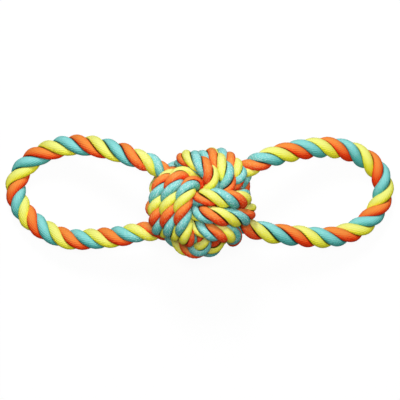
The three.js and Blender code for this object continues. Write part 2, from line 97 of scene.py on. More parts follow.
# %% Routes of the loops
# Each place is a share of the loop's length, and how far across the toy it lies
LEFT_ROUTE = [
    (0.1, 33.8), (0.2, 36.4), (0.295, 38.6), (0.395, 40.2), (0.49, 40.8), (0.59, 40), (0.695, 37.2),
    (0.815, 32.2), (0.93, 22.5), (1, 8.5), (0.977, -4.6), (0.895, -16.8), (0.795, -24.8), (0.69, -30.4),
    (0.59, -33.8), (0.49, -35), (0.395, -34.4), (0.295, -33.6), (0.2, -33), (0.1, -31.6),
]
RIGHT_ROUTE = [
    (0.1, 32), (0.2, 34.6), (0.297, 36.6), (0.395, 38), (0.495, 38.8), (0.595, 38.4), (0.695, 36.6),
    (0.8, 32.6), (0.907, 25.6), (0.98, 15.4), (1, 4.6), (0.97, -6.6), (0.89, -18), (0.795, -25.6),
    (0.693, -30), (0.595, -32.4), (0.495, -33.4), (0.395, -32.8), (0.297, -31.8), (0.2, -31), (0.1, -30),
]
print("loop routes of", len(LEFT_ROUTE), "and", len(RIGHT_ROUTE), "places")

# %% [markdown]
# ## How the knot is tied
# The ball is a monkey's fist: three rings of three turns each, which cross one another. Each ring goes
# over one neighbour and under the other. The curve could be drawn by hand, but nine turns that cross
# are hard to keep apart by eye. So each ring is written as stations round a rectangle, face by face and
# corner by corner, and the turns that look up are held at the places where the photograph shows them.

# %% The knot's own axes
TILT_UP = 14
TILT_LEFT = 3
ROLL = -7


def turned(axis, degrees):
    """A rotation about one of the toy's axes."""
    angle = math.radians(degrees)
    c, s = math.cos(angle), math.sin(angle)
    a, b = [n for n in range(3) if n != axis]
    if axis == 1:
        s = -s
    matrix = np.eye(3)
    matrix[a, a] = matrix[b, b] = c
    matrix[a, b], matrix[b, a] = -s, s
    return matrix


def knot_axes():
    """The knot's left, top and back faces as columns."""
    left = (-math.sqrt(1 / 2), -math.sqrt(1 / 6), math.sqrt(1 / 3))
    top = (0, math.sqrt(2 / 3), math.sqrt(1 / 3))
    back = (-math.sqrt(1 / 2), math.sqrt(1 / 6), -math.sqrt(1 / 3))
    return turned(2, ROLL) @ turned(1, -TILT_LEFT) @ turned(0, -TILT_UP) @ np.array([left, top, back]).T


TO_TOY = knot_axes()
print("knot axes", np.round(TO_TOY.T, 2).tolist())

# %% The three sets of turns
# Levels and lanes are in turn diameters from the knot's middle, held places in millimetres
OUTER_LEVEL = 2.41
OUTER_CROWN = 0.09
INNER_LEVEL = 1.6
CORNER_OUT = 0.84
CORNER_IN = 0.93
OUTER_LANE = 0.92
CORNER_LANE = 0.87
INNER_LANE = 0.81
TURNS_PER_SET = 3
X, Y, Z = 0, 1, 2

FIRST_SET = {
    "u": Y, "v": Z, "lane": X, "first": 1, "step": -1,
    "faces": [(Y, -1), (Z, -1), (Y, 1), (Z, 1)],
    "shift": [-0.5, 0.4, 0, 0.2, 0.1, 0.35, 0.35, 0.35],
    "held": {
        (0, 0): [(-22, -25, -12), (-16, -33, -8), (-9, -37.8, -4), (-3, -38, 2)],
        (0, 2): [(12, 18, 27.5), (4, 27, 27), (-10, 36, 15)],
        (1, 0): [(1, -37, -16), (9.5, -38, -11)],
        (1, 2): [(23, 19.5, 22), (15.6, 30.4, 17), (7.5, 37.5, 7)],
        (2, 2): [(33, 21.5, 12), (26.8, 32, 8), (17, 38.5, -2)],
    },
}
SECOND_SET = {
    "u": Z, "v": X, "lane": Y, "first": -1, "step": 1,
    "faces": [(X, -1), (Z, -1), (X, 1), (Z, 1)],
    "shift": [-0.72, -0.72, 0, 0.72, 0.72, 0.72, 0.5, 0.28],
    "held": {
        (0, 1): [(29.4, -26.4, 12), (14.8, -24.4, 26), (3.2, -22, 29)],
        (0, 3): [(-43, -10, -8), (-33, 2, -20)],
        (1, 1): [(37.5, -12.4, 9), (33, -12.4, 19.5), (17.2, -11.2, 32), (3.2, -8.8, 34.5)],
        (2, 1): [(34, 1.6, 11), (31.4, 0.8, 22), (17.2, 2.4, 33), (4, 4.8, 34)],
    },
}
THIRD_SET = {
    "u": X, "v": Y, "lane": Z, "first": 1, "step": -1,
    "faces": [(Y, 1), (X, 1), (Y, -1), (X, -1)],
    "shift": [0, 0, 0, 0, 0, 0, 0, 0.5],
    "held": {
        (0, 1): [(-26.5, 21.5, 14), (-31, 11, 17.6), (-34.4, -5, 14.6), (-33, -20, 9), (-30, -27.5, 1)],
        (1, 1): [(-18.5, 22.5, 23.5), (-21.6, 12, 27.4), (-25.6, -5, 25.2), (-23.8, -24, 19.4)],
        (2, 1): [(-11.2, 12.8, 33.5), (-15.2, -4, 34.5), (-13.4, -25, 26.5)],
        (2, 3): [(31.5, 6, -15), (31.5, 14, -8)],
    },
}
print("held stretches in each set", [len(turns["held"]) for turns in (FIRST_SET, SECOND_SET, THIRD_SET)])

# %% [markdown]
# ### Points of the rope
# A point is a row of six numbers: three for its place, then its radius, the thickness of what is bound
# round it, and whether it is held. Rows like this go straight into numpy, which moves all the points
# at once. Smoothing adds the station that a row comes from, and settling adds whether it is at an end.

# %% Stations on faces and at corners
RADIUS, COVER, HELD, STATION, AT_END = 3, 4, 5, 6, 7
CORNER_SQUEEZE = 0.4


def rope_point(place, radius, cover=0, held=0):
    return np.array([*place, radius, cover, held], float)


def face_point(turns, face, lane):
    """A station in the middle of a face: high outside the knot, low under another set."""
    axis, side = face
    outside = axis == turns["u"]
    crown = OUTER_CROWN * max(0, 1 - abs(lane))
    place = np.zeros(3)
    place[axis] = side * (OUTER_LEVEL + crown if outside else INNER_LEVEL)
    place[turns["lane"]] += lane * (OUTER_LANE if outside else INNER_LANE)
    return rope_point(place * OUTER_TURN, (OUTER_TURN if outside else INNER_TURN) / 2)


def corner_point(turns, face, next_face, lane):
    """A station between two faces, where the rope goes from outside to under."""
    sides = dict([next_face, face])
    place = np.zeros(3)
    place[turns["u"]] = sides[turns["u"]] * OUTER_LEVEL * CORNER_OUT
    place[turns["v"]] = sides[turns["v"]] * INNER_LEVEL * CORNER_IN
    place[turns["lane"]] = lane * CORNER_LANE
    diameter = (1 - CORNER_SQUEEZE) * OUTER_TURN + CORNER_SQUEEZE * INNER_TURN
    return rope_point(place * OUTER_TURN, diameter / 2)


def held_point(place):
    return rope_point(TO_TOY.T @ np.array(place, float), OUTER_TURN / 2, held=1)


def lane_at(turns, turn, stop):
    """Which lane a turn is in at one of the eight stops of its round."""
    return turns["first"] + turns["step"] * (turn + turns["shift"][stop])


def turns_of(turns):
    """The stations of three turns, face by face and corner by corner."""
    points = []
    for turn in range(TURNS_PER_SET):
        for n, face in enumerate(turns["faces"]):
            if (turn, n) in turns["held"]:
                points += [held_point(place) for place in turns["held"][turn, n]]
            else:
                points.append(face_point(turns, face, lane_at(turns, turn, 2 * n)))
            next_face = turns["faces"][(n + 1) % 4]
            points.append(corner_point(turns, face, next_face, lane_at(turns, turn, 2 * n + 1)))
    return points[:-1]


print("stations in each set", [len(turns_of(turns)) for turns in (FIRST_SET, SECOND_SET, THIRD_SET)])

# %% The rope through the knot, and its two ends
DIAGONAL = np.array([1, 1, 1]) / math.sqrt(3)
TAIL_ASIDE = np.array([-1, -1, 2]) / math.sqrt(6)
TURN_BACK = np.array([-2.1, 1.75, 1.75])
MOUTH_SHARE = 0.42


def mouth(name):
    return np.array(EXITS[name]["mouth"]) * OUTER_TURN


def stub(name):
    """The straight stretch between a loop and the mouth that it goes into."""
    place = EXITS[name]
    pivot = TO_TOY.T @ np.array([place["x"] - KNOT_CENTRE[0], place["y"] - KNOT_CENTRE[1], place["rise"]])
    inward = mouth(name) - pivot
    inward /= np.linalg.norm(inward)
    start = pivot + inward * (EXIT_RADIUS + PIECE_GAP)
    return [rope_point(start, EXIT_RADIUS), rope_point(start + inward * STUB_LENGTH, EXIT_RADIUS)]


def tail(side, name):
    """One end of the rope: in through its mouth, then beside the other end."""
    aside = TAIL_ASIDE * side * (TAIL + 2 * PIECE_GAP) / 2
    points = stub(name) + [rope_point(mouth(name), OUTER_TURN * MOUTH_SHARE)]
    for length in (TAIL_OVERLAP / 2, TAIL_OVERLAP / 3, 0, -TAIL_OVERLAP / 2):
        points.append(rope_point(DIAGONAL * side * length + aside, TAIL / 2, BINDING_COVER))
    return points


def winding():
    """The rope through the whole knot, from the left loop to the right one, and where sets change."""
    turn_back = rope_point(TURN_BACK * OUTER_TURN, INNER_TURN / 2)
    lead_in = stub("left lower") + [rope_point(mouth("left lower"), OUTER_TURN / 2)]
    lead_out = [rope_point(mouth("right upper"), OUTER_TURN / 2)] + stub("right upper")[::-1]
    first, second, third = turns_of(FIRST_SET), turns_of(SECOND_SET), turns_of(THIRD_SET)
    first_end = len(lead_in) + len(first) - 1
    cuts = [first_end, first_end + len(second)]
    return lead_in + first + second + [turn_back] + third + lead_out, cuts


winding_points, cuts = winding()
print("winding of", len(winding_points), "stations, sets change at", cuts)

# %% [markdown]
# ## Drawing the knot tight
# A smooth curve goes through the stations. Then the rope settles, as a real knot does when its ends are
# pulled: each point eases towards its neighbours, stretches that come too near push each other away,
# and all of it is drawn into a ball. Blender's cloth could do this too, but a short loop of our own
# gives the same knot on every run. In the last rounds the held turns are let go, so that they lean on
# their neighbours as rope does.

# %% A smooth curve, read at even steps
CURVE_SAMPLES = 24
SETTLE_STEP = 5


def curve_places(places, station):
    """Places at fractional stations of a Catmull-Rom curve, which goes through every place it is given."""
    padded = np.vstack([2 * places[0] - places[1], places, 2 * places[-1] - places[-2]])
    before = np.minimum(station.astype(int), len(places) - 2)
    t = (station - before)[:, None]
    p0, p1, p2, p3 = (padded[before + n] for n in range(4))
    return 0.5 * (2 * p1 + (p2 - p0) * t + (2 * p0 - 5 * p1 + 4 * p2 - p3) * t**2
                  + (3 * p1 - p0 - 3 * p2 + p3) * t**3)


def smooth(points, step):
    """Rows at even steps along the curve: place, radius, cover, held, station."""
    points = np.array(points)
    places = points[:, :3]
    last = len(points) - 1
    table = np.linspace(0, 1, len(points) * CURVE_SAMPLES + 1)
    steps = np.linalg.norm(np.diff(curve_places(places, table * last), axis=0), axis=1)
    lengths = np.concatenate([[0], np.cumsum(steps)])
    rows = max(2, math.floor(lengths[-1] / step + 0.5))
    station = np.interp(np.linspace(0, lengths[-1], rows + 1), lengths, table) * last
    before = np.minimum(station.astype(int), last - 1)
    share = station - before
    radius = points[before, RADIUS] * (1 - share) + points[before + 1, RADIUS] * share
    cover = np.maximum(points[before, COVER], points[before + 1, COVER])
    held = np.minimum(points[before, HELD], points[before + 1, HELD])
    return np.column_stack([curve_places(places, station), radius, cover, held, station])


print("loose winding of", len(smooth(winding_points, SETTLE_STEP)), "steps of", SETTLE_STEP, "mm")

# %% Settling
# Each stage has its rounds, how strongly the rope eases straight, and whether held turns are let go
SETTLE_STAGES = ((300, 0.25, False), (200, 0.06, False), (3, 0.25, True))
PUSH_SHARE = 0.22
BALL_SHARE = 0.25
BESIDE_REACH = 1.9
NEAR_ENOUGH = 9.0
LOOK_AGAIN = 10


def ready(points, held_start, held_end):
    """Rope at even steps, with the stations at its ends marked, since they stay where they are."""
    rope = smooth(points, SETTLE_STEP)
    station = rope[:, STATION]
    at_end = (station <= held_start) | (station >= len(points) - 1 - held_end)
    return np.column_stack([rope, at_end])


def pairs_to_watch(owner, reach):
    """Pairs of points that aren't near each other along one rope, and how far apart each pair has to be."""
    one, other = np.triu_indices(len(reach), 1)
    need = reach[one] + reach[other]
    beside = (owner[one] == owner[other]) & ((other - one) * SETTLE_STEP < BESIDE_REACH * need)
    return one[~beside], other[~beside], need[~beside]


def push_apart(places, one, other, wanted):
    """How far each point is pushed by those that come too near."""
    between = places[one] - places[other]
    distance = np.linalg.norm(between, axis=1)
    lack = np.clip(wanted - distance, 0, None)
    move = between * (PUSH_SHARE * lack / distance)[:, None]
    push = np.zeros_like(places)
    np.add.at(push, one, move)
    np.add.at(push, other, -move)
    return push


def draw_in(places, radii):
    """How far each point is drawn back into the ball."""
    distance = np.linalg.norm(places, axis=1)[:, None]
    excess = np.clip(distance - (KNOT / 2 - radii), 0, None)
    return places / distance * (BALL_SHARE * excess)


def settle(ropes):
    """Draws the ropes tight and returns them in the same order."""
    rows = np.vstack(ropes)
    owner = np.repeat(range(len(ropes)), [len(rope) for rope in ropes])
    places = rows[:, :3].copy()
    one, other, need = pairs_to_watch(owner, rows[:, RADIUS] + rows[:, COVER])
    rounds_done = 0
    for rounds, ease, let_go in SETTLE_STAGES:
        held = (rows[:, AT_END] > 0) | ((rows[:, HELD] > 0) & (not let_go))
        free = ~held[:, None]
        for _ in range(rounds):
            if rounds_done % LOOK_AGAIN == 0:
                near = np.linalg.norm(places[one] - places[other], axis=1) < need + NEAR_ENOUGH
                watched = one[near], other[near], need[near] + TURN_GAP
            rounds_done += 1
            middle = (np.roll(places, 1, 0) + np.roll(places, -1, 0)) / 2
            places += ease * (middle - places) * free
            places += push_apart(places, *watched) * free
            places -= draw_in(places, rows[:, RADIUS:RADIUS + 1]) * free
    rows[:, :3] = places
    return [rows[owner == n] for n in range(len(ropes))]


knot_ropes = settle([
    ready(winding_points, held_start=1, held_end=1),
    ready(tail(1, "left upper"), held_start=1, held_end=3),
    ready(tail(-1, "right lower"), held_start=1, held_end=3),
])
print("settled", [len(rope) for rope in knot_ropes])

# %% [markdown]
# ## One rope from end to end
# On the real toy the loops, the knot and the hidden ends are one length of rope, so the strands have to
# run on from one to the next. They are joined into one centreline first and cut afterwards. The hinges
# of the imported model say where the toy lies: the middle of each hinge is halfway between a loop's exits.

# %% The centreline of the whole rope
STEP = 1.6
LEFT_TAIL, LEFT_LOOP, IN_KNOT, RIGHT_LOOP, RIGHT_TAIL = range(5)
hinges = {joint["name"]: joint for joint in frame["joints"]}
hinge = np.array(hinges["left_loop_swing"]["pos_m"]) / MM
upper, lower = EXITS["left upper"], EXITS["left lower"]
offset = hinge - [upper["x"], (upper["y"] + lower["y"]) / 2, (upper["rise"] + lower["rise"]) / 2]
middle_of_knot = np.array([*KNOT_CENTRE, 0]) + offset


def in_toy(rope):
    """Place and radius of settled rope, in the toy's frame."""
    return np.column_stack([rope[:, :3] @ TO_TOY.T + middle_of_knot, rope[:, RADIUS]])


def loop(side, route):
    """Place and radius along a hand loop, from its upper exit to its lower one."""
    ends = [EXITS[side + " upper"], EXITS[side + " lower"]]
    far_end = [along for along, _ in route].index(1)
    rows = []
    for n, (along, across) in enumerate(route):
        place = ends[0 if n < far_end else 1]
        x = place["x"] + math.copysign(along * LOOP_LENGTH, place["x"])
        climb = (1 - along) ** REST_SLOPE
        height = REST_HEIGHT + (offset[2] + place["rise"] - REST_HEIGHT) * climb
        rows.append([x + offset[0], across + offset[1], height, ROPE / 2])
    pivots = [[p["x"] + offset[0], p["y"] + offset[1], p["rise"] + offset[2], EXIT_RADIUS] for p in ends]
    return np.array([pivots[0], *rows, pivots[1]])


knot_rope, left_tail, right_tail = [in_toy(rope) for rope in knot_ropes]
stretches = [left_tail[::-1], loop("left", LEFT_ROUTE), knot_rope, loop("right", RIGHT_ROUTE), right_tail]
whole = np.vstack(stretches)
whole_points = np.column_stack([whole, np.zeros((len(whole), 2))])
fine = smooth(whole_points, STEP)
stations = fine[:, STATION]
first_of = np.cumsum([0] + [len(stretch) for stretch in stretches])
print("centreline of", len(fine), "steps from", len(stretches), "stretches")

# %% Small kinks eased out
PLACE_BLUR = 2
RADIUS_BLUR = 4
BELL_WIDTH = 3


def blurred(values, reach):
    """Values smoothed along the rope, with a bell of that many steps."""
    margin = BELL_WIDTH * reach
    bell = np.exp(-0.5 * (np.arange(-margin, margin + 1) / reach) ** 2)
    bell /= bell.sum()
    columns = values.reshape(len(values), -1)
    wide = np.pad(columns, ((margin, margin), (0, 0)), mode="reflect", reflect_type="odd")
    out = np.column_stack([np.convolve(wide[:, c], bell, "valid") for c in range(wide.shape[1])])
    return out.reshape(values.shape)


places = blurred(fine[:, :3], PLACE_BLUR)
radii = blurred(fine[:, RADIUS], RADIUS_BLUR)
along = np.concatenate([[0], np.cumsum(np.linalg.norm(np.diff(places, axis=0), axis=1))])
print("rope", round(along[-1]), "mm long, in", len(along), "steps")

# %% [markdown]
# ## The lay
# Three strands wind round each other to the right: on an upright rope they climb to the right. A frame
# that doesn't twist is carried along the centreline, and an angle that grows along the rope turns the
# strands in it. An even twist would do for a plain rope. Here the photograph shows which strand looks
# up at many places, and which looks aside at one, so the angle is fitted to those and runs evenly in
# between.

# %% A frame that doesn't twist
START_WAY = (0.3, 0.5, 0.8)
tangents = np.gradient(places, axis=0)
tangents /= np.linalg.norm(tangents, axis=1)[:, None]
across = np.zeros_like(places)
side_step = np.cross(tangents[0], START_WAY)
for n, tangent in enumerate(tangents):
    side_step = side_step - tangent * (side_step @ tangent)
    side_step /= np.linalg.norm(side_step)
    across[n] = side_step
beside = np.cross(tangents, across)
print("frames at", len(across), "steps")

# %% Which strand looks up where
ORANGE, YELLOW, TURQUOISE = range(3)
LOOKS_UP = [
    (LEFT_LOOP, ORANGE, [(135, 159.5), (88.5, 147), (44, 152.5), (16.5, 188), (33.5, 221), (72.5, 238.5),
                         (115, 236.5)]),
    (RIGHT_LOOP, TURQUOISE, [(264.5, 158)]),
    (RIGHT_LOOP, ORANGE, [(294.5, 151.5), (338, 149), (376.5, 170), (376, 210), (341, 235.5), (295, 236)]),
    (RIGHT_TAIL, ORANGE, [(240, 227.5)]),
    (IN_KNOT, ORANGE, [(182, 211), (166.5, 213), (155.5, 212.5), (237, 201), (201, 199.5), (245, 216),
                       (209, 215.5), (185, 159), (211, 171.5), (216, 159), (235, 163.5), (184, 250)]),
    (IN_KNOT, YELLOW, [(211.5, 248)]),
    (IN_KNOT, TURQUOISE, [(186.5, 185.5), (170.5, 188.5), (159.5, 190.5), (238, 233), (205, 230.5),
                          (197, 248), (182, 222.5), (167.5, 223), (156, 222), (229, 179.6), (245, 183)]),
]

# Where a side of the rope is seen: the strand, the place from the knot's middle, and the way it looks
LOOKS_ASIDE = [(ORANGE, (-37, -6, -10), (-0.9, 0, 0.4))]
print("marks of the lay", sum(len(points) for _, _, points in LOOKS_UP) + len(LOOKS_ASIDE))

# %% The lay fitted to the marks
PIXEL = 0.8
PICTURE_ORIGIN = (199, 196)
HEIGHT_COUNTS = 0.25
LOOP_LAY = 36.0
KNOT_LAY = 30.0
LAY_BLUR = 6
UP = (0, 0, 1)


def picture_place(point):
    """Where a place of the picture lies on the toy, in millimetres."""
    right, down = point[0] - PICTURE_ORIGIN[0], point[1] - PICTURE_ORIGIN[1]
    return np.array([right * PIXEL, -down * PIXEL]) + offset[:2]


def nearest_on_top(stretch, point):
    """The step of the rope that passes over a place of the picture, on the side that looks up."""
    inside = (stations >= first_of[stretch]) & (stations < first_of[stretch + 1])
    apart = np.linalg.norm(places[:, :2] - picture_place(point), axis=1)
    return int(np.argmin(np.where(inside, apart - HEIGHT_COUNTS * places[:, 2], np.inf)))


def lay_for(step, strand, way):
    """The lay angle at which a strand looks a given way at a step of the rope."""
    return math.atan2(beside[step] @ way, across[step] @ way) - strand * TURN / 3


def lay_marks():
    """The lay angle wanted at some steps of the rope, and the length of a full twist near each."""
    marks = {}
    for stretch, strand, points in LOOKS_UP:
        for point in points:
            step = nearest_on_top(stretch, point)
            marks[step] = (lay_for(step, strand, UP), KNOT_LAY if stretch == IN_KNOT else LOOP_LAY)
    for strand, place, way in LOOKS_ASIDE:
        step = int(np.argmin(np.linalg.norm(places - middle_of_knot - place, axis=1)))
        marks[step] = (lay_for(step, strand, way), KNOT_LAY)
    return marks


def fitted_lay():
    """The strands' angle at every step of the rope."""
    marks = lay_marks()
    steps = sorted(marks)
    angles = [marks[steps[0]][0]]
    for before, after in zip(steps, steps[1:]):
        lay = (marks[before][1] + marks[after][1]) / 2
        expected = angles[-1] + TURN * (along[after] - along[before]) / lay
        turns = round((expected - marks[after][0]) / TURN)
        angles.append(marks[after][0] + TURN * turns)
    lays = np.diff(along[steps]) / np.diff(angles) * TURN
    print("lay between marks from", round(lays.min(), 1), "to", round(lays.max(), 1), "mm")
    inner = np.interp(along, along[steps], angles)
    inner += np.minimum(along - along[steps[0]], 0) * TURN / KNOT_LAY
    inner += np.maximum(along - along[steps[-1]], 0) * TURN / KNOT_LAY
    return blurred(inner, LAY_BLUR)


lay_angle = fitted_lay()

# %% [markdown]
# ## Cotton
# A strand is a bundle of soft dyed yarn. Each yarn is a faint ridge, with its crest painted a little paler
# as a highlight. Painted shade darkens the grooves between strands. Each strand's outside, and the sides
# that look up to a fixed light, are painted paler; its flanks, and the sides that look away, deeper, as
# light and shade would fall. On the knot, where the cotton is rubbed, loose fibres show as pale flecks. A
# picture of cotton could be wrapped round each strand. A procedural material needs no picture and stays
# sharp close up. It reads four values that the mesh carries: ring, the place round the strand; run, the
# way along the rope in metres; outness, how far a place looks out of the rope, from 1 outside to below 0
# in a groove; and painted_light, how far a place looks up to that light when the toy lies at rest.

# %% Helpers for node trees


def linked(tree, node_type, inputs=(), **settings):
    """A node with its settings and its inputs, which are values or other nodes' outputs."""
    node = tree.nodes.new(node_type)
    for name, value in settings.items():
        setattr(node, name, value)
    for key, value in dict(inputs).items():
        if isinstance(value, bpy.types.NodeSocket):
            tree.links.new(value, node.inputs[key])
        else:
            node.inputs[key].default_value = value
    return node


def math_node(tree, operation, *values):
    return linked(tree, "ShaderNodeMath", dict(enumerate(values)), operation=operation).outputs[0]


def mixed(tree, factor, first, second):
    """Two colours mixed, each a written colour or another node's output."""
    return linked(tree, "ShaderNodeMix", {0: factor, 6: first, 7: second}, data_type="RGBA").outputs[2]


def ranged(tree, value, low, high, style="LINEAR", lowest=0.0, highest=1.0):
    """A value brought from the range low to high into the range lowest to highest."""
    return linked(tree, "ShaderNodeMapRange", {
        "Value": value, "From Min": low, "From Max": high, "To Min": lowest, "To Max": highest,
    }, interpolation_type=style).outputs[0]


def split(tree, vector):
    return linked(tree, "ShaderNodeSeparateXYZ", {0: vector}).outputs


# %% Colours of the cotton
# Light and deep tones of the dye, which serve as lit and shaded copies of it: the light one is painted
# where light falls and the deep one where shade falls, and fibre and wear mix them at random too. Then
# the painted shade of a groove, loose fibre, and how much of the fibre shows
COTTON = {
    "orange": {"light": (0.78, 0.235, 0.043), "deep": (0.97, 0.038, 0.002), "groove_shade": (0.045, 0.001, 0.0005),
               "fleck": (0.9, 0.42, 0.17), "flecked": 0.5},
    "yellow": {"light": (0.75, 0.77, 0.19), "deep": (0.96, 0.93, 0.025), "groove_shade": (0.045, 0.04, 0.001),
               "fleck": (0.92, 0.94, 0.45), "flecked": 0.55},
    "turquoise": {"light": (0.205, 0.59, 0.57), "deep": (0.07, 0.45, 0.4), "groove_shade": (0.0025, 0.03, 0.024),
                  "fleck": (0.62, 0.82, 0.82), "flecked": 0.75},
}
print("dyes", list(COTTON))

# %% Patterns of the cotton
YARNS = 16

# Noise of fibres and of specks: how fine it is round a strand and along the rope, and its detail
FIBRES = {"round": 9.0, "along": 420.0, "detail": 4.0}
SPECKS = {"round": 6.0, "along": 1100.0, "detail": 3.0}
WEAR_SCALE = 60.0
WEAR_DETAIL = 3.0

# How far from the toy's middle the cotton goes from clean to rubbed, and how rubbed the loops are
CLEAN_AT, RUBBED_AT = 0.062, 0.045
RUBBED_LOOP = 0.2


def yarn_wave(tree, ring):
    """A wave round a strand, with a crest on each yarn."""
    angle = math_node(tree, "ARCTAN2", ring[1], ring[0])
    return math_node(tree, "COSINE", math_node(tree, "MULTIPLY", angle, YARNS))


def carried(tree, name, output="Fac"):
    """A value that the mesh carries."""
    return linked(tree, "ShaderNodeAttribute", attribute_name=name).outputs[output]


def noise(tree, place, scale, detail):
    inputs = {"Vector": place, "Scale": scale, "Detail": detail}
    return linked(tree, "ShaderNodeTexNoise", inputs).outputs["Fac"]


def strand_noise(tree, ring, run, fineness):
    """Noise laid out round a strand and along it."""
    place = linked(tree, "ShaderNodeCombineXYZ", {
        0: math_node(tree, "MULTIPLY", ring[0], fineness["round"]),
        1: math_node(tree, "MULTIPLY", ring[1], fineness["round"]),
        2: math_node(tree, "MULTIPLY", run, fineness["along"]),
    }).outputs[0]
    return noise(tree, place, 1.0, fineness["detail"])


def cotton_patterns(tree):
    """What varies over the cotton, each a number at every place."""
    ring = split(tree, carried(tree, "ring", "Vector"))
    run = carried(tree, "run")
    place = tree.nodes.new("ShaderNodeTexCoord").outputs["Object"]
    sideways = math_node(tree, "ABSOLUTE", split(tree, place)[0])
    return {
        "crest": math_node(tree, "MULTIPLY_ADD", yarn_wave(tree, ring), 0.5, 0.5),
        "fibre": strand_noise(tree, ring, run, FIBRES),
        "speck": strand_noise(tree, ring, run, SPECKS),
        "wear": noise(tree, place, WEAR_SCALE, WEAR_DETAIL),
        "rubbed": ranged(tree, sideways, CLEAN_AT, RUBBED_AT, lowest=RUBBED_LOOP),
        "outness": carried(tree, "outness"),
        "painted_light": carried(tree, "painted_light"),
    }


# %% The cotton's colour
# How much each pattern turns the deep tone to the light one. The outside of a strand and the side that
# looks up to LIGHT_WAY are painted light; fibre and wear vary the tone at random.
OUTSIDE_FROM, OUTSIDE_TO = 0.1, 0.75
OUTSIDE_PAINTED_LIGHT = 0.25
TONE_START = -0.8
# The crest term paints each yarn ridge a little paler than the hollow beside it, a painted highlight
TONES = {"painted_light": 1.15, "crest": 0.13, "fibre": 0.6, "wear": 0.4}
SPECK_FROM, SPECK_TO = 0.5, 0.64
# How wide the painted shade of a groove is, and how it narrows where the cotton is rubbed
GROOVE_SHADE_WIDTH = 0.5
RUBBED_GROOVE_SHADE = -0.2


def cotton_colour(tree, look, patterns):
    """The dye with its painted light and shade, then the flecks of loose fibre on it, then the painted shade
    of the grooves.
    """
    light, deep, groove_shade, fleck = [(*look[tone], 1) for tone in ("light", "deep", "groove_shade", "fleck")]
    # Painted light and shade across each strand: its outside goes towards the light tone, its flanks deeper
    outside = ranged(tree, patterns["outness"], OUTSIDE_FROM, OUTSIDE_TO, "SMOOTHSTEP")
    tone = math_node(tree, "MULTIPLY_ADD", outside, OUTSIDE_PAINTED_LIGHT, TONE_START)
    for name, strength in TONES.items():
        tone = math_node(tree, "MULTIPLY_ADD", patterns[name], strength, tone)
    dye = mixed(tree, ranged(tree, tone, 0.0, 1.0), deep, light)
    specks = ranged(tree, patterns["speck"], SPECK_FROM, SPECK_TO)
    fuzz = math_node(tree, "MULTIPLY", specks, look["flecked"])
    flecked = mixed(tree, math_node(tree, "MULTIPLY", fuzz, patterns["rubbed"]), dye, fleck)
    # Painted shade: the groove colour is laid where strands meet, as shade falls in the crease
    groove_shade_width = math_node(tree, "MULTIPLY_ADD", patterns["rubbed"], RUBBED_GROOVE_SHADE, GROOVE_SHADE_WIDTH)
    clear_of_groove_shade = ranged(tree, patterns["outness"], 0.0, groove_shade_width, "SMOOTHSTEP")
    return mixed(tree, clear_of_groove_shade, groove_shade, flecked)


# %% The cotton's relief, and its materials
CREST_BUMP = 0.35
SPECK_BUMP = 0.8
BUMP_STRENGTH = 0.5
BUMP_HEIGHT = 0.0006
COTTON_ROUGHNESS = 0.9
COTTON_SHINE = 0.06


def cotton_bump(tree, patterns):
    """The fine relief of yarn and fibre, finer than the mesh."""
    specks = math_node(tree, "MULTIPLY", patterns["speck"], SPECK_BUMP)
    height = math_node(tree, "MULTIPLY_ADD", patterns["crest"], CREST_BUMP, specks)
    inputs = {"Height": height, "Strength": BUMP_STRENGTH, "Distance": BUMP_HEIGHT}
    return linked(tree, "ShaderNodeBump", inputs).outputs[0]


def empty_material(name):
    material = bpy.data.materials.new(name)
    material.use_nodes = True
    material.node_tree.nodes.clear()
    return material


def cotton(name):
    """Dyed cotton yarn of one colour."""
    material = empty_material("cotton_" + name)
    tree = material.node_tree
    patterns = cotton_patterns(tree)
    shader = linked(tree, "ShaderNodeBsdfPrincipled", {
        "Base Color": cotton_colour(tree, COTTON[name], patterns),
        "Roughness": COTTON_ROUGHNESS,
        "Normal": cotton_bump(tree, patterns),
        "Specular IOR Level": COTTON_SHINE,
    })
    linked(tree, "ShaderNodeOutputMaterial", {"Surface": shader.outputs[0]})
    return material


cottons = [cotton(name) for name in ("orange", "yellow", "turquoise")]
print("materials", [material.name for material in cottons])

# %% [markdown]
# ## Three strands from one centreline
# The centreline is a chain of points, each with its frame, its thickness, its lay angle and its way
# along the rope. A node tree makes the chain a curve three times over, moves each copy out to its
# strand's place, and sweeps a ring with small ridges, the yarns, along it. It also writes outness and
# painted_light, how much painted light a place gets, which the cotton reads. A curve with a bevel would
# be quicker, but it makes one round tube, and here each strand has to turn about the rope and keep a
# colour of its own.

# %% The ring of yarns that is swept along a strand
RING_POINTS = 48


def vector_math(tree, operation, inputs):
    return linked(tree, "ShaderNodeVectorMath", inputs, operation=operation).outputs


def scaled(tree, vector, factor):
    return vector_math(tree, "SCALE", {0: vector, "Scale": factor})[0]


def attribute(tree, name, data_type="FLOAT"):
    return linked(tree, "GeometryNodeInputNamedAttribute", {"Name": name}, data_type=data_type).outputs[0]


def stored(tree, geometry, name, value, data_type="FLOAT"):
    """A geometry whose points carry a value under a name."""
    return linked(tree, "GeometryNodeStoreNamedAttribute", {
        "Geometry": geometry, "Name": name, "Value": value,
    }, data_type=data_type, domain="POINT").outputs[0]


def yarn_ring(tree, ridge):
    """The ring that is swept along a strand, marked with the place round it."""
    circle = linked(tree, "GeometryNodeCurvePrimitiveCircle", {"Resolution": RING_POINTS, "Radius": 1.0})
    place = tree.nodes.new("GeometryNodeInputPosition").outputs[0]
    marked = stored(tree, circle.outputs[0], "ring", place, "FLOAT_VECTOR")
    size = math_node(tree, "MULTIPLY_ADD", yarn_wave(tree, split(tree, place)), ridge, 1.0)
    inputs = {"Geometry": marked, "Position": scaled(tree, place, size)}
    return linked(tree, "GeometryNodeSetPosition", inputs).outputs[0]


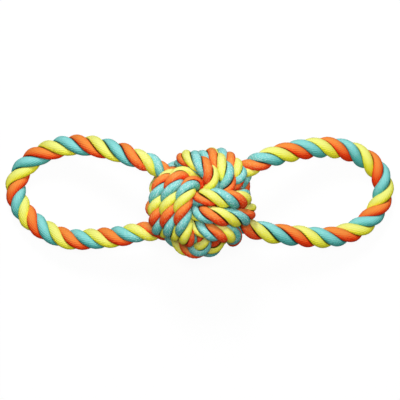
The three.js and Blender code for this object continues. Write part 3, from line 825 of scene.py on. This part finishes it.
# %% What varies along a strand and round it
LUMPS_PER_METRE = 130.0
LUMPS_APART = 50.0
LUMP_DETAIL = 2.0
# The way the painted light comes from, and the facing over which it goes from none to full
LIGHT_WAY = (-0.1, 0.6, 0.79)
PAINTED_LIGHT_FROM, PAINTED_LIGHT_TO = 0.25, 1.0


def outness(tree, turn):
    """How far a place of a strand looks out of the rope: 1 outside, about -0.5 where two strands meet."""
    ring = split(tree, attribute(tree, "ring", "FLOAT_VECTOR"))
    angle = math_node(tree, "ARCTAN2", ring[1], ring[0])
    return math_node(tree, "COSINE", math_node(tree, "ADD", angle, turn))


def painted_light(tree):
    """Painted light: 1 where a place looks up to LIGHT_WAY, 0 where it looks away; the cotton is painted
    paler there.
    """
    normal = tree.nodes.new("GeometryNodeInputNormal").outputs[0]
    facing = vector_math(tree, "DOT_PRODUCT", {0: normal, 1: LIGHT_WAY})["Value"]
    return ranged(tree, facing, PAINTED_LIGHT_FROM, PAINTED_LIGHT_TO)


def uneven(tree, amount, number):
    """How thick a strand is along its run, around 1: yarn is never quite even."""
    run = attribute(tree, "run")
    place = math_node(tree, "MULTIPLY_ADD", run, LUMPS_PER_METRE, number * LUMPS_APART)
    inputs = {"W": place, "Scale": 1.0, "Detail": LUMP_DETAIL}
    lumps = linked(tree, "ShaderNodeTexNoise", inputs, noise_dimensions="1D").outputs["Fac"]
    return math_node(tree, "MULTIPLY_ADD", math_node(tree, "SUBTRACT", lumps, 0.5), amount, 1.0)


# %% One strand in the node tree


def strand_curve(tree, inputs, number, turn):
    """The centreline of one strand, moved out from the middle of the rope."""
    angle = math_node(tree, "ADD", attribute(tree, "lay"), number * TURN / 3)
    one_way = scaled(tree, attribute(tree, "across", "FLOAT_VECTOR"), math_node(tree, "COSINE", angle))
    other_way = scaled(tree, attribute(tree, "beside", "FLOAT_VECTOR"), math_node(tree, "SINE", angle))
    out = vector_math(tree, "ADD", {0: one_way, 1: other_way})[0]
    reach = math_node(tree, "MULTIPLY", attribute(tree, "thickness"), inputs["Strand Out"])
    curve = linked(tree, "GeometryNodeMeshToCurve", {"Mesh": inputs["Centreline"]}).outputs[0]
    facing = linked(tree, "GeometryNodeSetCurveNormal", {"Curve": curve, "Normal": out}, mode="FREE")
    tilted = linked(tree, "GeometryNodeSetCurveTilt", {"Curve": facing.outputs[0], "Tilt": turn})
    return linked(tree, "GeometryNodeSetPosition", {
        "Geometry": tilted.outputs[0], "Offset": scaled(tree, out, reach),
    }).outputs[0]


def strand(tree, inputs, number, ring):
    """One strand of the rope, in its own material."""
    turn = math_node(tree, "MULTIPLY", attribute(tree, "lay"), inputs["Yarn Turns"])
    even = math_node(tree, "MULTIPLY", attribute(tree, "thickness"), inputs["Strand Thick"])
    tube = linked(tree, "GeometryNodeCurveToMesh", {
        "Curve": strand_curve(tree, inputs, number, turn),
        "Profile Curve": ring,
        "Scale": math_node(tree, "MULTIPLY", even, uneven(tree, inputs["Uneven"], number)),
        "Fill Caps": True,
    }).outputs[0]
    grooved = stored(tree, tube, "outness", outness(tree, turn))
    # Painted light: the side that faces LIGHT_WAY at rest is marked, to be painted paler
    light_painted = stored(tree, grooved, "painted_light", painted_light(tree))
    smooth_tube = linked(tree, "GeometryNodeSetShadeSmooth", {"Geometry": light_painted}).outputs[0]
    material = inputs["Strand " + str(number + 1)]
    return linked(tree, "GeometryNodeSetMaterial", {"Geometry": smooth_tube, "Material": material}).outputs[0]


# %% The whole node tree
# How far out and how thick a strand is, in rope radii, its ridges, and how its yarns turn and swell
STRAND_OUT = 0.52
STRAND_THICK = 0.53
RIDGE = 0.019
YARN_TURNS = -1.7
UNEVEN = 0.12


def new_tree(name, kinds, output):
    """An empty geometry tree with named inputs and one geometry output, and the sockets of its inputs."""
    tree = bpy.data.node_groups.new(name, "GeometryNodeTree")
    for key, kind in kinds.items():
        tree.interface.new_socket(name=key, in_out="INPUT", socket_type="NodeSocket" + kind)
    tree.interface.new_socket(name=output, in_out="OUTPUT", socket_type="NodeSocketGeometry")
    return tree, tree.nodes.new("NodeGroupInput").outputs


def laid_rope_tree():
    """Three strands round one centreline, each in its own material."""
    tree, inputs = new_tree("laid rope", {
        "Centreline": "Geometry", "Strand Out": "Float", "Strand Thick": "Float", "Ridge": "Float",
        "Yarn Turns": "Float", "Uneven": "Float", "Strand 1": "Material", "Strand 2": "Material",
        "Strand 3": "Material",
    }, "Rope")
    ring = yarn_ring(tree, inputs["Ridge"])
    joined = tree.nodes.new("GeometryNodeJoinGeometry")
    for number in range(3):
        tree.links.new(strand(tree, inputs, number, ring), joined.inputs[0])
    real = linked(tree, "GeometryNodeRealizeInstances", {0: joined.outputs[0]}).outputs[0]
    linked(tree, "NodeGroupOutput", {0: real})
    return tree


rope_tree = laid_rope_tree()
ROPE_INPUTS = {
    "Strand Out": STRAND_OUT, "Strand Thick": STRAND_THICK, "Ridge": RIDGE, "Yarn Turns": YARN_TURNS,
    "Uneven": UNEVEN, "Strand 1": cottons[ORANGE], "Strand 2": cottons[YELLOW],
    "Strand 3": cottons[TURQUOISE],
}
print("node tree", rope_tree.name, len(rope_tree.nodes), "nodes")

# %% From a stretch of the centreline to a plain mesh


def chain(name, first, last):
    """A stretch of the centreline as a chain of points that carry what the tree reads."""
    rows = slice(first, last + 1)
    mesh = bpy.data.meshes.new(name)
    mesh.from_pydata(places[rows] * MM, [(n, n + 1) for n in range(last - first)], [])
    for key, values in (("across", across), ("beside", beside)):
        layer = mesh.attributes.new(key, "FLOAT_VECTOR", "POINT")
        layer.data.foreach_set("vector", values[rows].ravel())
    for key, values in (("thickness", radii * MM), ("lay", lay_angle), ("run", along * MM)):
        layer = mesh.attributes.new(key, "FLOAT", "POINT")
        layer.data.foreach_set("value", values[rows])
    return mesh


def in_scene(name, data):
    """A new object in the scene."""
    piece = bpy.data.objects.new(name, data)
    bpy.context.scene.collection.objects.link(piece)
    return piece


def made_by(tree, name, mesh, values):
    """The plain mesh that a node tree makes from another mesh."""
    source = in_scene(name + " source", mesh)
    modifier = source.modifiers.new(tree.name, "NODES")
    modifier.node_group = tree
    for item in tree.interface.items_tree:
        if item.in_out == "INPUT" and item.name in values:
            modifier[item.identifier] = values[item.name]
    graph = bpy.context.evaluated_depsgraph_get()
    evaluated = source.evaluated_get(graph)
    made = bpy.data.meshes.new_from_object(evaluated, preserve_all_data_layers=True, depsgraph=graph)
    bpy.data.objects.remove(source)
    bpy.data.meshes.remove(mesh)
    made.name = name
    return in_scene(name, made)


# %% Finishing a stretch of rope
PRESS = 2.0 * MM


def press_on_floor(mesh):
    """Flattens the rope where it lies on the floor."""
    spots = np.empty(len(mesh.vertices) * 3)
    mesh.vertices.foreach_get("co", spots)
    heights = spots[2::3]
    spots[2::3] = np.where(heights < PRESS, PRESS * np.exp((heights - PRESS) / PRESS), heights)
    mesh.vertices.foreach_set("co", spots)


def crisp_ends(mesh):
    """Flat shading on the closed ends, so that they don't darken the strand beside them."""
    sharp = mesh.attributes.new("sharp_edge", "BOOLEAN", "EDGE")
    for polygon in mesh.polygons:
        if len(polygon.vertices) > 4:
            polygon.use_smooth = False
            for loop_index in polygon.loop_indices:
                sharp.data[mesh.loops[loop_index].edge_index].value = True


def laid_rope(name, first, last):
    """One stretch of the rope as a mesh of three strands."""
    piece = made_by(rope_tree, name, chain(name, first, last), ROPE_INPUTS)
    mesh = piece.data
    for key in ("across", "beside", "thickness", "lay"):
        mesh.attributes.remove(mesh.attributes[key])
    press_on_floor(mesh)
    crisp_ends(mesh)
    print(name, len(mesh.polygons), "faces", round(along[last] - along[first]), "mm of rope")
    return piece


# %% [markdown]
# ## The pieces of the toy
# The real rope is one length. The model has it in seven stretches, so that the loops can swing. It is
# cut where a loop has gone into the knot, out of sight, and where one set of turns becomes the next.

# %% Where the rope is cut
# The station at which a leg has gone into the knot
MOUTH = 2


def step_at(stretch, rope_stations, station):
    """The step of the centreline at a station of the settled rope."""
    row = first_of[stretch] + np.argmin(abs(rope_stations - station))
    return int(np.argmin(abs(stations - row)))


winding_stations = knot_ropes[0][:, STATION]
cut_steps = [
    0,
    step_at(LEFT_TAIL, knot_ropes[1][::-1, STATION], MOUTH),
    step_at(IN_KNOT, winding_stations, MOUTH),
    step_at(IN_KNOT, winding_stations, cuts[0]),
    step_at(IN_KNOT, winding_stations, cuts[1]),
    step_at(IN_KNOT, winding_stations, len(winding_points) - 1 - MOUTH),
    step_at(RIGHT_TAIL, knot_ropes[2][:, STATION], MOUTH),
    len(along) - 1,
]
PIECES = ["left_tail", "left_loop", "first_turns", "second_turns", "third_turns", "right_loop", "right_tail"]
ropes = {name: laid_rope(name + "_rope", *cut_steps[n:n + 2]) for n, name in enumerate(PIECES)}

# %% [markdown]
# ### Ends that meet
# Each stretch was swept by itself, so its end rings lean a little, and a fine gap would show where two
# stretches meet. Both rings are moved to the middle between them. Their painted light is read one ring
# in, because the flat face that closes a strand leans on the normals of its last ring.

# %% Closing the seams


def values_of(mesh, key):
    """A layer of the mesh, the name of its field, and its values, one row for each vertex."""
    layer = mesh.attributes[key]
    field, width = ("vector", 3) if layer.data_type == "FLOAT_VECTOR" else ("value", 1)
    values = np.empty(len(mesh.vertices) * width)
    layer.data.foreach_get(field, values)
    return layer, field, values.reshape(-1, width)


def first_rings(mesh):
    """The vertices of the first ring of each strand."""
    strand_size = len(mesh.vertices) // 3
    return np.concatenate([np.arange(RING_POINTS) + strand_size * number for number in range(3)])


def last_rings(mesh):
    return first_rings(mesh) + len(mesh.vertices) // 3 - RING_POINTS


def join_ends(before, after):
    """Closes the seam between two stretches."""
    ends, starts = last_rings(before), first_rings(after)
    for key, inward in (("position", 0), ("painted_light", RING_POINTS)):
        layer_before, field, values_before = values_of(before, key)
        layer_after, field, values_after = values_of(after, key)
        shared = (values_before[ends - inward] + values_after[starts + inward]) / 2
        values_before[ends] = shared
        values_after[starts] = shared
        layer_before.data.foreach_set(field, values_before.ravel())
        layer_after.data.foreach_set(field, values_after.ravel())
    before.update()
    after.update()


for before, after in zip(PIECES, PIECES[1:]):
    join_ends(ropes[before].data, ropes[after].data)
print("seams closed", len(PIECES) - 1)

# %% [markdown]
# ### The loops' ropes
# On the toy a loop bends where it comes out of the knot; an armature could make its mesh do so. Here
# its rope only has its place baked into the mesh, and unlike the other stretches it is not attached to the
# knot.


def hang_loop(name):
    """Bakes a loop's place into its rope's mesh."""
    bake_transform(ropes[name])


for name, rope in ropes.items():
    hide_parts(name)
    if name.endswith("_loop"):
        hang_loop(name)
    else:
        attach(rope, "knot")
print("stretches placed", len(ropes))

# %% [markdown]
# ## The binding
# The rope's two ends lie side by side inside the knot, and twine wound round both keeps them there. It
# can't be seen from outside, so it stays simple: a chain of points round the two ends, swept with a
# plain ring by a small node tree.

# %% The wound twine
TWINE = 1.5
TWINE_TURNS = 8
TWINE_STEPS = 24
TWINE_RING = 10
TWINE_PITCH = 1.05
TWINE_COLOUR = (0.8, 0.76, 0.62, 1)
TWINE_ROUGHNESS = 0.9


def twine_material():
    material = bpy.data.materials.new("twine")
    material.use_nodes = True
    shader = material.node_tree.nodes["Principled BSDF"]
    shader.inputs["Base Color"].default_value = TWINE_COLOUR
    shader.inputs["Roughness"].default_value = TWINE_ROUGHNESS
    return material


def twine_tree():
    """A plain round cord along a centreline."""
    kinds = {"Centreline": "Geometry", "Radius": "Float", "Material": "Material"}
    tree, inputs = new_tree("wound twine", kinds, "Twine")
    curve = linked(tree, "GeometryNodeMeshToCurve", {"Mesh": inputs["Centreline"]}).outputs[0]
    sizes = {"Resolution": TWINE_RING, "Radius": inputs["Radius"]}
    ring = linked(tree, "GeometryNodeCurvePrimitiveCircle", sizes).outputs[0]
    tube = linked(tree, "GeometryNodeCurveToMesh", {"Curve": curve, "Profile Curve": ring, "Fill Caps": True})
    smooth_tube = linked(tree, "GeometryNodeSetShadeSmooth", {"Geometry": tube.outputs[0]}).outputs[0]
    real = linked(tree, "GeometryNodeRealizeInstances", {0: smooth_tube}).outputs[0]
    dressed = linked(tree, "GeometryNodeSetMaterial", {"Geometry": real, "Material": inputs["Material"]})
    linked(tree, "NodeGroupOutput", {0: dressed.outputs[0]})
    return tree


def twine_chain():
    """Turns of twine round two round tails that lie side by side."""
    along_tails = TO_TOY @ DIAGONAL
    aside = TO_TOY @ TAIL_ASIDE
    over = np.cross(along_tails, aside)
    reach = TAIL / 2 + PIECE_GAP + TWINE / 2
    apart = (TAIL + 2 * PIECE_GAP) / 2
    angles = np.linspace(0, TURN * TWINE_TURNS, TWINE_STEPS * TWINE_TURNS + 1)
    width = TWINE_TURNS * TWINE * TWINE_PITCH
    spots = (middle_of_knot
             + np.outer(reach * np.cos(angles) + apart * np.sign(np.cos(angles)), aside)
             + np.outer(reach * np.sin(angles), over)
             + np.outer((angles / angles[-1] - 0.5) * width, along_tails))
    mesh = bpy.data.meshes.new("twine chain")
    mesh.from_pydata(spots * MM, [(n, n + 1) for n in range(len(spots) - 1)], [])
    return mesh


twine = made_by(twine_tree(), "tail_binding_twine", twine_chain(),
                {"Radius": TWINE / 2 * MM, "Material": twine_material()})
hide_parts("tail_binding")
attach(twine, "knot")
print("twine", len(twine.data.polygons), "faces")

# %% [markdown]
# ## Floor, light and camera
# The photograph is a cut-out on white, lit softly from the top of the picture, and taken from straight
# above with a long lens. The floor looks white to the camera and keeps a faint shadow. For the light
# that it throws back at the rope it is grey, so that the sides of the strands stay deep in colour.

# %% Floor
WHITE = (1, 1, 1, 1)
FLOOR_WHITE = 0.94
FLOOR_GREY = (0.13, 0.13, 0.13, 1)
FLOOR_HALF = 2.0
FLOOR_CORNERS = ((-1, -1), (1, -1), (1, 1), (-1, 1))


def floor_material():
    """White to the camera and in reflections, grey for the light that it throws back."""
    material = empty_material("white floor")
    tree = material.node_tree
    path = tree.nodes.new("ShaderNodeLightPath").outputs
    seen = math_node(tree, "MAXIMUM", path["Is Camera Ray"], path["Is Glossy Ray"])
    seen = math_node(tree, "MAXIMUM", seen, path["Is Transmission Ray"])
    plain = linked(tree, "ShaderNodeBsdfDiffuse", {"Color": mixed(tree, seen, FLOOR_GREY, WHITE)}).outputs[0]
    white = linked(tree, "ShaderNodeEmission", {"Color": WHITE, "Strength": 1.0}).outputs[0]
    share = math_node(tree, "MULTIPLY", seen, FLOOR_WHITE)
    mix = linked(tree, "ShaderNodeMixShader", {0: share, 1: plain, 2: white})
    linked(tree, "ShaderNodeOutputMaterial", {"Surface": mix.outputs[0]})
    return material


def floor():
    mesh = bpy.data.meshes.new("floor")
    mesh.from_pydata([(x * FLOOR_HALF, y * FLOOR_HALF, 0) for x, y in FLOOR_CORNERS], [], [(0, 1, 2, 3)])
    mesh.materials.append(floor_material())
    return in_scene("floor", mesh)


floor()
print("floor", 2 * FLOOR_HALF, "m wide")

# %% Lights
LAMP_SIZE = 0.5
KEY_PLACE = (-0.15, 1.15, 1.15)
KEY_POWER = 17
FILL_PLACE = (0.05, 0.15, 1.7)
FILL_POWER = 16.5
WORLD_STRENGTH = 0.16


def area_light(name, place, power):
    """A round lamp that looks at the toy."""
    lamp = bpy.data.lights.new(name, "AREA")
    lamp.shape = "DISK"
    lamp.size = LAMP_SIZE
    lamp.energy = power
    piece = in_scene(name, lamp)
    piece.location = place
    aim = -piece.location
    piece.rotation_euler = aim.to_track_quat("-Z", "Y").to_euler()
    return piece


def white_world():
    world = bpy.data.worlds.new("white room")
    world.use_nodes = True
    background = world.node_tree.nodes["Background"]
    background.inputs["Color"].default_value = WHITE
    background.inputs["Strength"].default_value = WORLD_STRENGTH
    bpy.context.scene.world = world


area_light("key", KEY_PLACE, KEY_POWER)
area_light("fill", FILL_PLACE, FILL_POWER)
white_world()
print("lamps of", KEY_POWER, "and", FILL_POWER, "watts")

# %% Camera
CAMERA_HEIGHT = 4.0
SHARP_HEIGHT = 0.008
PICTURE_SIZE = 400
SENSOR = 36
camera_data = bpy.data.cameras.new("camera")
camera_data.sensor_width = SENSOR
camera_data.lens = SENSOR * (CAMERA_HEIGHT - SHARP_HEIGHT) / (PICTURE_SIZE * PIXEL * MM)
camera = in_scene("camera", camera_data)
centre = picture_place((PICTURE_SIZE / 2, PICTURE_SIZE / 2))
camera.location = (centre[0] * MM, centre[1] * MM, CAMERA_HEIGHT)
bpy.context.scene.camera = camera
bpy.context.scene.view_settings.view_transform = "Standard"
print("lens", round(camera_data.lens), "mm")
